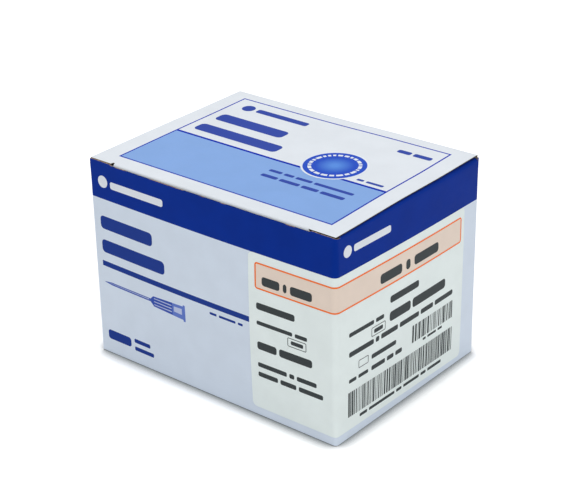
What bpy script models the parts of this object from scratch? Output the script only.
"""A folding carton with a hinged tuck lid, an adhesive label round one upright edge,
and twenty strips of sealed needle packs inside. Metres, +Z up.

The origin is the middle of the underside. +X runs along the front wall, seen from the
front, and the front wall faces -Y. The lid is creased along the top of the back wall."""

import math

import bmesh
import bpy
from mathutils import Vector

# Carton
LENGTH = 0.120
WIDTH = 0.090
HEIGHT = 0.085
BOARD = 0.0005
CLEAR = 0.0003
EDGE_RADIUS = 0.0023
CREASE_RADIUS = 0.0010
FLAP_INSET = 0.0006
BOTTOM_FLAP_TAPER = 0.0015
GLUE_TAB = 0.015
GLUE_TAB_TAPER = 0.004
DUST_FLAP = 0.032
DUST_FLAP_TAPER = 0.006
BAND_HEIGHT = 0.016
ARC_STEPS = 5

# Lid
TUCK_DEPTH = 0.0155
TUCK_CORNER = 0.010
TUCK_INSET = 0.0015
LID_FOLD_RADIUS = 0.0009
SLIT = 0.0120
SLIT_NOTCH = 0.0010

# Lid print, measured from the lid's left and back edges
LID_FRAME = (0.0074, 0.0068, 0.1115, 0.0817)
LID_FRAME_LINE = 0.0006
LID_DIVIDER = (0.0485, 0.0500)

# Label, measured along the front wall and round the edge, and down from the top
LABEL_THICK = 0.00015
LABEL_FRONT = 0.0402
LABEL_SIDE = 0.0805
LABEL_TOP = 0.0172
LABEL_BOTTOM = 0.0812
LABEL_CORNER = 0.0020
STRIPE_TOP = 0.0202
STRIPE_BOTTOM = 0.0304
STRIPE_INSET_FRONT = 0.0035
STRIPE_INSET_SIDE = 0.0019

# Needle packs
PACKS_IN_STRIP = 5
PAIRS = 10
PACK_PITCH = 0.0158
PACK_HEIGHT = 0.066
WEB = 0.0004
HUB_DEPTH = 0.0086
HUB_WIDTH = 0.0074
SHIELD_DEPTH = 0.0064
SHIELD_WIDTH = 0.0060
BUBBLE_FOOT = 0.0045
NECK = 0.033
SHOULDER = 0.040
BUBBLE_HEAD = 0.055
BUBBLE_END = 0.0035

# Levels and planes that follow from the sizes above
HALF_LENGTH = LENGTH / 2
HALF_WIDTH = WIDTH / 2
LAYER = BOARD + CLEAR
DUST_TOP = HEIGHT - LAYER
FLOOR_TOP = 2 * LAYER + BOARD
HINGE_Y = HALF_WIDTH - BOARD / 2
HINGE_Z = HEIGHT - BOARD / 2
TUCK_RADIUS = HINGE_Y + HALF_WIDTH - LAYER
PACK_FOOT = FLOOR_TOP + CLEAR
BAND_Z = HEIGHT - BAND_HEIGHT

WHITE = (0.80, 0.84, 0.90)
BOARD_INSIDE = (0.62, 0.57, 0.50)
NAVY = (0.012, 0.030, 0.24)
LIGHT_BLUE = (0.26, 0.42, 0.76)
LINE_BLUE = (0.045, 0.080, 0.52)
LABEL_WHITE = (0.66, 0.74, 0.73)
SALMON = (0.72, 0.57, 0.50)
PACK_FILM = (0.78, 0.84, 0.88)


def clear_scene():
    for obj in list(bpy.data.objects):
        bpy.data.objects.remove(obj, do_unlink=True)


def material(name, colour, roughness=0.45):
    """A plain Principled material."""
    made = bpy.data.materials.new(name)
    made.use_nodes = True
    shader = made.node_tree.nodes["Principled BSDF"]
    shader.inputs["Base Color"].default_value = (*colour, 1.0)
    shader.inputs["Roughness"].default_value = roughness
    shader.inputs["Metallic"].default_value = 0.0
    made.diffuse_color = (*colour, 1.0)
    return made


def new_object(name, bm, collection, materials, location=(0, 0, 0)):
    """The bmesh as an object, with its origin at location and its shape where it was."""
    bmesh.ops.translate(bm, verts=bm.verts, vec=-Vector(location))
    mesh = bpy.data.meshes.new(name)
    bm.to_mesh(mesh)
    bm.free()
    for each in materials:
        mesh.materials.append(each)
    obj = bpy.data.objects.new(name, mesh)
    obj.location = location
    collection.objects.link(obj)
    return obj


def solidify(obj, thickness, inside_slot, rim_slot):
    """Thickness behind an open sheet. The offsets give its back and its cut edges a slot."""
    made = obj.modifiers.new("thickness", "SOLIDIFY")
    made.thickness = thickness
    made.offset = -1.0
    made.use_even_offset = True
    made.material_offset = inside_slot
    made.material_offset_rim = rim_slot


def smooth_except_edges(obj, degrees=35):
    obj.data.shade_smooth()
    obj.data.set_sharp_from_angle(angle=math.radians(degrees))


def face_outward(bm):
    """Consistent normals, turned so that the face furthest along +X or +Z looks that way."""
    bmesh.ops.recalc_face_normals(bm, faces=bm.faces)
    bm.normal_update()
    last = max(bm.faces, key=lambda face: face.calc_center_median().x)
    if last.normal.x < 0:
        bmesh.ops.reverse_faces(bm, faces=bm.faces)


def arc(centre, radius, start, end, steps=ARC_STEPS):
    """Plan points on an arc, with its angles in degrees, both ends included."""
    points = []
    for step in range(steps + 1):
        angle = math.radians(start + (end - start) * step / steps)
        x = centre[0] + radius * math.cos(angle)
        y = centre[1] + radius * math.sin(angle)
        points.append((x, y))
    return points


def extrude_edges(bm, edges, move):
    """Extrudes the edges into faces, moves the new points, and returns the new edges."""
    made = bmesh.ops.extrude_edge_only(bm, edges=edges)["geom"]
    points = {item for item in made if isinstance(item, bmesh.types.BMVert)}
    for point in points:
        point.co = move(point.co.copy())
    return [
        item
        for item in made
        if isinstance(item, bmesh.types.BMEdge) and set(item.verts) <= points
    ]


def fold_flap(bm, edges, inward, up, length, taper, radius=CREASE_RADIUS):
    """Folds a flap from a wall's edges: round a crease, then flat, its sides tapering.

    up is +1 for a flap at the top and -1 for one at the bottom."""
    inward = Vector(inward)
    along = Vector((-inward.y, inward.x, 0))
    middle = sum(
        (along.dot(edge.verts[0].co + edge.verts[1].co) / 2 for edge in edges), 0.0
    ) / len(edges)
    step_angle = math.radians(90 / ARC_STEPS)
    for step in range(ARC_STEPS):
        before = step * step_angle
        after = before + step_angle
        rise = radius * (math.sin(after) - math.sin(before)) * up
        run = radius * (math.cos(before) - math.cos(after))
        shift = inward * run + Vector((0, 0, rise))
        edges = extrude_edges(bm, edges, lambda point: point + shift)

    def reach(point):
        side = along.dot(point) - middle
        pulled = math.copysign(min(taper, abs(side)), side)
        return point + inward * (length - radius) - along * pulled

    return extrude_edges(bm, edges, reach)


def wall_plan():
    """The walls' outer face in plan, from the back wall's raw edge round to the glue tab.

    Each entry is a point and the name of the wall that starts there."""
    radius = EDGE_RADIUS
    right = HALF_LENGTH - radius
    back = HALF_WIDTH - radius
    tab_y = HALF_WIDTH - LAYER
    raw_edge = -HALF_LENGTH + BOARD + CLEAR + CREASE_RADIUS / 2
    plan = [((raw_edge, HALF_WIDTH), "back")]
    corners = (
        ((right, back), 90, "right"),
        ((right, -back), 0, "front"),
        ((-right, -back), -90, "left"),
    )
    for centre, start, wall in corners:
        bend = arc(centre, radius, start, start - 90)
        plan += [(point, "corner") for point in bend[:-1]]
        plan += [(bend[-1], wall)]
    last_bend = arc((-right, tab_y - radius), radius, -180, -270)
    plan += [(point, "corner") for point in last_bend[:-1]]
    plan += [(last_bend[-1], "tab")]
    plan += [((-right + GLUE_TAB, tab_y), "end")]
    return plan


def with_flap_edges(plan):
    """The plan with a point set in from each end of every wall that carries flaps."""
    refined = []
    for (point, wall), (after, _) in zip(plan, plan[1:]):
        refined.append((point, wall))
        if wall in ("back", "right", "front", "left"):
            step = (Vector(after) - Vector(point)).normalized() * FLAP_INSET
            refined[-1] = (point, "corner")
            refined.append((tuple(Vector(point) + step), wall))
            refined.append((tuple(Vector(after) - step), "corner"))
    refined.append(plan[-1])
    return refined


def carton_sheet():
    """The carton's outer face as one open sheet, folded from the walls outward."""
    foot = {
        "front": CREASE_RADIUS,
        "back": LAYER + CREASE_RADIUS,
        "right": 2 * LAYER + CREASE_RADIUS,
        "left": 2 * LAYER + CREASE_RADIUS,
        "tab": FLOOR_TOP + CLEAR,
    }
    top = {
        "front": HINGE_Z,
        "back": DUST_TOP,
        "right": DUST_TOP - CREASE_RADIUS,
        "left": DUST_TOP - CREASE_RADIUS,
        "tab": DUST_TOP - GLUE_TAB_TAPER,
    }
    plan = with_flap_edges(wall_plan())
    bm = bmesh.new()
    columns = []
    for index, (point, wall) in enumerate(plan):
        touching = {wall, plan[index - 1][1]} if index else {wall}
        named = [each for each in touching if each in foot]
        low = foot[named[0]] if named else BOARD
        high = top[named[0]] if named else DUST_TOP
        if wall == "tab" or wall == "end":
            low = foot["tab"] + (GLUE_TAB_TAPER if wall == "end" else 0)
            high = DUST_TOP - (GLUE_TAB_TAPER if wall == "end" else 0)
        levels = (low, BAND_Z, high)
        columns.append([bm.verts.new((*point, level)) for level in levels])
    bottom_edges = {}
    top_edges = {}
    for (_, wall), first, second in zip(plan, columns, columns[1:]):
        for row in range(2):
            corners = (first[row], second[row], second[row + 1], first[row + 1])
            face = bm.faces.new(corners)
            face.material_index = row if wall != "tab" else 0
        bottom_edges.setdefault(wall, []).append(bm.edges.get((first[0], second[0])))
        top_edges.setdefault(wall, []).append(bm.edges.get((first[2], second[2])))

    side_clear = BOARD + CLEAR
    inner_width = WIDTH - 2 * side_clear
    minor = HALF_LENGTH - CLEAR
    fold_flap(bm, bottom_edges["front"], (0, 1, 0), -1, inner_width, BOTTOM_FLAP_TAPER)
    fold_flap(bm, bottom_edges["back"], (0, -1, 0), -1, inner_width, BOTTOM_FLAP_TAPER)
    fold_flap(bm, bottom_edges["right"], (-1, 0, 0), -1, minor, BOTTOM_FLAP_TAPER)
    fold_flap(bm, bottom_edges["left"], (1, 0, 0), -1, minor, BOTTOM_FLAP_TAPER)
    for wall, inward in (("right", (-1, 0, 0)), ("left", (1, 0, 0))):
        before = set(bm.faces)
        fold_flap(bm, top_edges[wall], inward, 1, DUST_FLAP, DUST_FLAP_TAPER)
        for face in set(bm.faces) - before:
            face.material_index = 0
    face_outward(bm)
    return bm


def build_carton(collection, paints):
    board = [paints["white"], paints["navy"], paints["inside"], paints["inside"]]
    obj = new_object("carton", carton_sheet(), collection, board)
    solidify(obj, BOARD, inside_slot=2, rim_slot=2)
    smooth_except_edges(obj)
    return obj


def tuck_depth_at(x, half_width):
    """How far down the tuck flap reaches at x, with its two lower corners rounded."""
    past = abs(x) - (half_width - TUCK_CORNER)
    if past <= 0:
        return TUCK_DEPTH
    return TUCK_DEPTH - TUCK_CORNER + math.sqrt(max(TUCK_CORNER**2 - past**2, 0.0))


def on_tuck_arc(depth):
    """A point of the tuck flap's outer face, which swings clear inside the front wall."""
    angle = depth / TUCK_RADIUS
    y = HINGE_Y - TUCK_RADIUS * math.cos(angle)
    z = HINGE_Z - TUCK_RADIUS * math.sin(angle)
    return y, z


def lid_columns(half_width):
    """The lid's lines along X: the slits' ends, the print's edges, the flap's corners."""
    flap_end = half_width - TUCK_INSET
    lines = {half_width, half_width - SLIT, half_width - SLIT + SLIT_NOTCH, 0.0}
    for step in range(5):
        lines.add(flap_end - TUCK_CORNER * (1 - math.cos(math.radians(22.5 * step))))
    lines |= {-line for line in lines}
    left, right = LID_FRAME[0] - HALF_LENGTH, LID_FRAME[2] - HALF_LENGTH
    lines |= {left, left + LID_FRAME_LINE, right - LID_FRAME_LINE, right}
    return sorted(lines)


def lid_panel_rows():
    """The lid panel's lines along Y, from the hinge to the start of its front fold."""
    back, front = LID_FRAME[1], LID_FRAME[3]
    downs = [back, back + LID_FRAME_LINE, *LID_DIVIDER, front - LID_FRAME_LINE, front]
    front_fold = HINGE_Y - TUCK_RADIUS + LID_FOLD_RADIUS
    return [HINGE_Y] + [HALF_WIDTH - down for down in downs] + [front_fold]


def lid_print_slot(x, y):
    """The paint slot of the lid's face at a point: board, light blue, or a line."""
    left, back, right, front = LID_FRAME
    across = x + HALF_LENGTH
    down = HALF_WIDTH - y
    to_edge = min(across - left, right - across, down - back, front - down)
    if to_edge < 0:
        return 0
    if to_edge < LID_FRAME_LINE or LID_DIVIDER[0] < down < LID_DIVIDER[1]:
        return 2
    return 1 if down > LID_DIVIDER[1] else 0


def lid_sheet():
    """The lid's outer face: the panel, its front fold, and the tuck flap below.

    A slit at each end parts the flap from the panel, whose cut edge runs on level beyond
    a small notch."""
    half_width = HALF_LENGTH - CLEAR
    flap_end = half_width - TUCK_INSET
    slit_end = half_width - SLIT
    fold_y = HINGE_Y - TUCK_RADIUS + LID_FOLD_RADIUS
    flap_top = LID_FOLD_RADIUS - BOARD / 2
    flap_shares = (0.34, 0.67, 1.0)
    columns = lid_columns(half_width)
    panel_rows = lid_panel_rows()

    def column_points(x):
        points = [(x, y, HEIGHT) for y in panel_rows]
        for step in range(1, ARC_STEPS):
            angle = math.radians(90 * step / ARC_STEPS)
            y = fold_y - LID_FOLD_RADIUS * math.sin(angle)
            z = HEIGHT - LID_FOLD_RADIUS * (1 - math.cos(angle))
            points.append((x, y, z))
        for share in (0.0, *flap_shares):
            depth = flap_top + (tuck_depth_at(x, flap_end) - flap_top) * share
            points.append((x, *on_tuck_arc(depth)))
        return points

    bm = bmesh.new()
    grid = [[bm.verts.new(point) for point in column_points(x)] for x in columns]
    first_fold = len(panel_rows) - 1
    first_flap = first_fold + ARC_STEPS
    raw_ends = []
    for left, right in zip(grid, grid[1:]):
        middle_x = (left[0].co.x + right[0].co.x) / 2
        for row in range(len(left) - 1):
            in_fold = first_fold <= row < first_flap
            if in_fold and abs(middle_x) > slit_end:
                continue
            if row >= first_flap and abs(middle_x) > flap_end:
                continue
            corners = (left[row], left[row + 1], right[row + 1], right[row])
            face = bm.faces.new(corners)
            if row < first_fold:
                middle = face.calc_center_median()
                face.material_index = lid_print_slot(middle.x, middle.y)
        if abs(middle_x) > slit_end + SLIT_NOTCH:
            raw_ends.append(bm.edges.get((left[first_fold], right[first_fold])))
    run_on = Vector((0, -LID_FOLD_RADIUS, 0))
    extrude_edges(bm, raw_ends, lambda point: point + run_on)
    bmesh.ops.delete(bm, geom=[v for v in bm.verts if not v.link_faces], context="VERTS")
    bmesh.ops.recalc_face_normals(bm, faces=bm.faces)
    bm.normal_update()
    if max(bm.faces, key=lambda face: face.calc_area()).normal.z < 0:
        bmesh.ops.reverse_faces(bm, faces=bm.faces)
    return bm


def build_lid(collection, paints):
    board = [paints["white"], paints["light_blue"], paints["line_blue"]]
    board += [paints["inside"]] * 3
    hinge = (0, HINGE_Y, HINGE_Z)
    obj = new_object("lid", lid_sheet(), collection, board, location=hinge)
    solidify(obj, BOARD, inside_slot=3, rim_slot=3)
    smooth_except_edges(obj)
    return obj


def label_plan():
    """The label's inner face in plan: along the front wall, round the edge, along the side."""
    face = HALF_WIDTH + CLEAR
    side = HALF_LENGTH + CLEAR
    centre = (HALF_LENGTH - EDGE_RADIUS, -HALF_WIDTH + EDGE_RADIUS)
    start_x = HALF_LENGTH - LABEL_FRONT
    end_y = -HALF_WIDTH + LABEL_SIDE
    bend = arc(centre, EDGE_RADIUS + CLEAR, -90, 0)
    corner_lines = [
        LABEL_CORNER * (1 - math.cos(math.radians(30 * step))) for step in range(4)
    ]
    front = [(start_x + inset, -face) for inset in corner_lines]
    front.append((start_x + STRIPE_INSET_FRONT, -face))
    right = [(side, end_y - inset) for inset in corner_lines]
    right.append((side, end_y - STRIPE_INSET_SIDE))
    return front, bend, sorted(right, key=lambda point: point[1])


def label_sheet():
    """The label's inner face, with rounded corners, as a sheet bent round the edge."""
    front, bend, right = label_plan()
    top, bottom = HEIGHT - LABEL_TOP, HEIGHT - LABEL_BOTTOM
    stripe = (HEIGHT - STRIPE_BOTTOM, HEIGHT - STRIPE_TOP)
    stripe_columns = (front[-1], right[0])
    plan = front + bend + right
    distance = 0.0
    travelled = [0.0]
    for before, after in zip(plan, plan[1:]):
        distance += (Vector(after) - Vector(before)).length
        travelled.append(distance)

    def corner_drop(along):
        past = LABEL_CORNER - min(along, distance - along)
        if past <= 0:
            return 0.0
        return LABEL_CORNER - math.sqrt(max(LABEL_CORNER**2 - past**2, 0.0))

    bm = bmesh.new()
    columns = []
    for point, along in zip(plan, travelled):
        drop = corner_drop(along)
        levels = (bottom + drop, *stripe, top - drop)
        columns.append([bm.verts.new((*point, level)) for level in levels])
    first = plan.index(stripe_columns[0])
    last = plan.index(stripe_columns[1])
    for index, (left, right_side) in enumerate(zip(columns, columns[1:])):
        for row in range(3):
            corners = (left[row], right_side[row], right_side[row + 1], left[row + 1])
            face = bm.faces.new(corners)
            face.material_index = 1 if row == 1 and first <= index < last else 0
    face_outward(bm)
    return bm


def build_label(collection, paints):
    obj = new_object(
        "label", label_sheet(), collection, [paints["label"], paints["salmon"]]
    )
    solidify(obj, LABEL_THICK, inside_slot=0, rim_slot=0)
    obj.modifiers["thickness"].offset = 1.0
    smooth_except_edges(obj)
    return obj


def bubble_size(height):
    """A pack bubble's half width and depth at a height: shield, neck, then hub on top."""
    from_end = min(height - BUBBLE_FOOT, BUBBLE_HEAD - height)
    if from_end <= 0:
        return (SHIELD_WIDTH if height < NECK else HUB_WIDTH) / 2, 0.0
    mix = min(max((height - NECK) / (SHOULDER - NECK), 0.0), 1.0)
    mix = mix * mix * (3 - 2 * mix)
    width = SHIELD_WIDTH + (HUB_WIDTH - SHIELD_WIDTH) * mix
    depth = SHIELD_DEPTH + (HUB_DEPTH - SHIELD_DEPTH) * mix
    rounding = min(from_end / BUBBLE_END, 1.0)
    swell = math.sqrt(1 - (1 - rounding) ** 2)
    return width / 2, depth * swell


def pack_strip_mesh():
    """A strip of sealed packs standing on edge: flat web, and a bubble for each needle.

    The web's back is the plane X = 0, and the strip is centred on Y."""
    rows = [0.0, BUBBLE_FOOT, BUBBLE_FOOT + BUBBLE_END / 4, BUBBLE_FOOT + BUBBLE_END]
    rows += [NECK, (NECK + SHOULDER) / 2, SHOULDER, BUBBLE_HEAD - BUBBLE_END]
    rows += [BUBBLE_HEAD - BUBBLE_END / 4, BUBBLE_HEAD, PACK_HEIGHT]
    shape = ((-1.0, 0.0), (-0.86, 0.62), (-0.4, 0.96), (0.4, 0.96), (0.86, 0.62), (1.0, 0.0))
    half_strip = PACKS_IN_STRIP * PACK_PITCH / 2
    bm = bmesh.new()
    sheet = []
    for height in rows:
        half_width, depth = bubble_size(height)
        line = [(-half_strip, 0.0)]
        for pack in range(PACKS_IN_STRIP):
            centre = (pack + 0.5) * PACK_PITCH - half_strip
            for across, out in shape:
                line.append((centre + across * half_width, out * depth))
        line.append((half_strip, 0.0))
        sheet.append([bm.verts.new((WEB + out, y, height)) for y, out in line])
    for lower, upper in zip(sheet, sheet[1:]):
        for column in range(len(lower) - 1):
            corners = (lower[column], lower[column + 1], upper[column + 1], upper[column])
            bm.faces.new(corners)
    rim = [edge for edge in bm.edges if edge.is_boundary]
    back = extrude_edges(bm, rim, lambda point: Vector((0, point.y, point.z)))
    bmesh.ops.contextual_create(bm, geom=back)
    bmesh.ops.recalc_face_normals(bm, faces=bm.faces)
    mesh = bpy.data.meshes.new("needle_strip")
    bm.to_mesh(mesh)
    bm.free()
    return mesh


def build_strips(collection, paints):
    """Facing pairs of strips, their bubbles nested by half a pack, along the carton."""
    mesh = pack_strip_mesh()
    mesh.materials.append(paints["film"])
    mesh.shade_smooth()
    mesh.set_sharp_from_angle(angle=math.radians(40))
    inside = LENGTH - 2 * (BOARD + CLEAR)
    pair_pitch = inside / PAIRS
    pair_depth = 2 * WEB + HUB_DEPTH + CLEAR
    strips = []
    for pair in range(PAIRS):
        middle = (pair + 0.5) * pair_pitch - inside / 2
        for facing in (1, -1):
            number = 2 * pair + (1 if facing == 1 else 2)
            obj = bpy.data.objects.new(f"needle_strip_{number:02d}", mesh)
            shift = facing * PACK_PITCH / 4
            obj.location = (middle - facing * pair_depth / 2, shift, PACK_FOOT)
            obj.rotation_euler = (0, 0, 0 if facing == 1 else math.pi)
            collection.objects.link(obj)
            strips.append(obj)
    return strips


def main():
    clear_scene()
    collection = bpy.data.collections.new("needle_carton")
    bpy.context.scene.collection.children.link(collection)
    paints = {
        "white": material("board_white", WHITE, 0.35),
        "navy": material("band_navy", NAVY, 0.35),
        "inside": material("board_inside", BOARD_INSIDE, 0.8),
        "light_blue": material("field_light_blue", LIGHT_BLUE, 0.35),
        "line_blue": material("line_blue", LINE_BLUE, 0.35),
        "label": material("label_paper", LABEL_WHITE, 0.4),
        "salmon": material("label_stripe", SALMON, 0.4),
        "film": material("pack_film", PACK_FILM, 0.2),
    }
    build_carton(collection, paints)
    build_lid(collection, paints)
    build_label(collection, paints)
    build_strips(collection, paints)
    bpy.context.view_layer.update()


main()
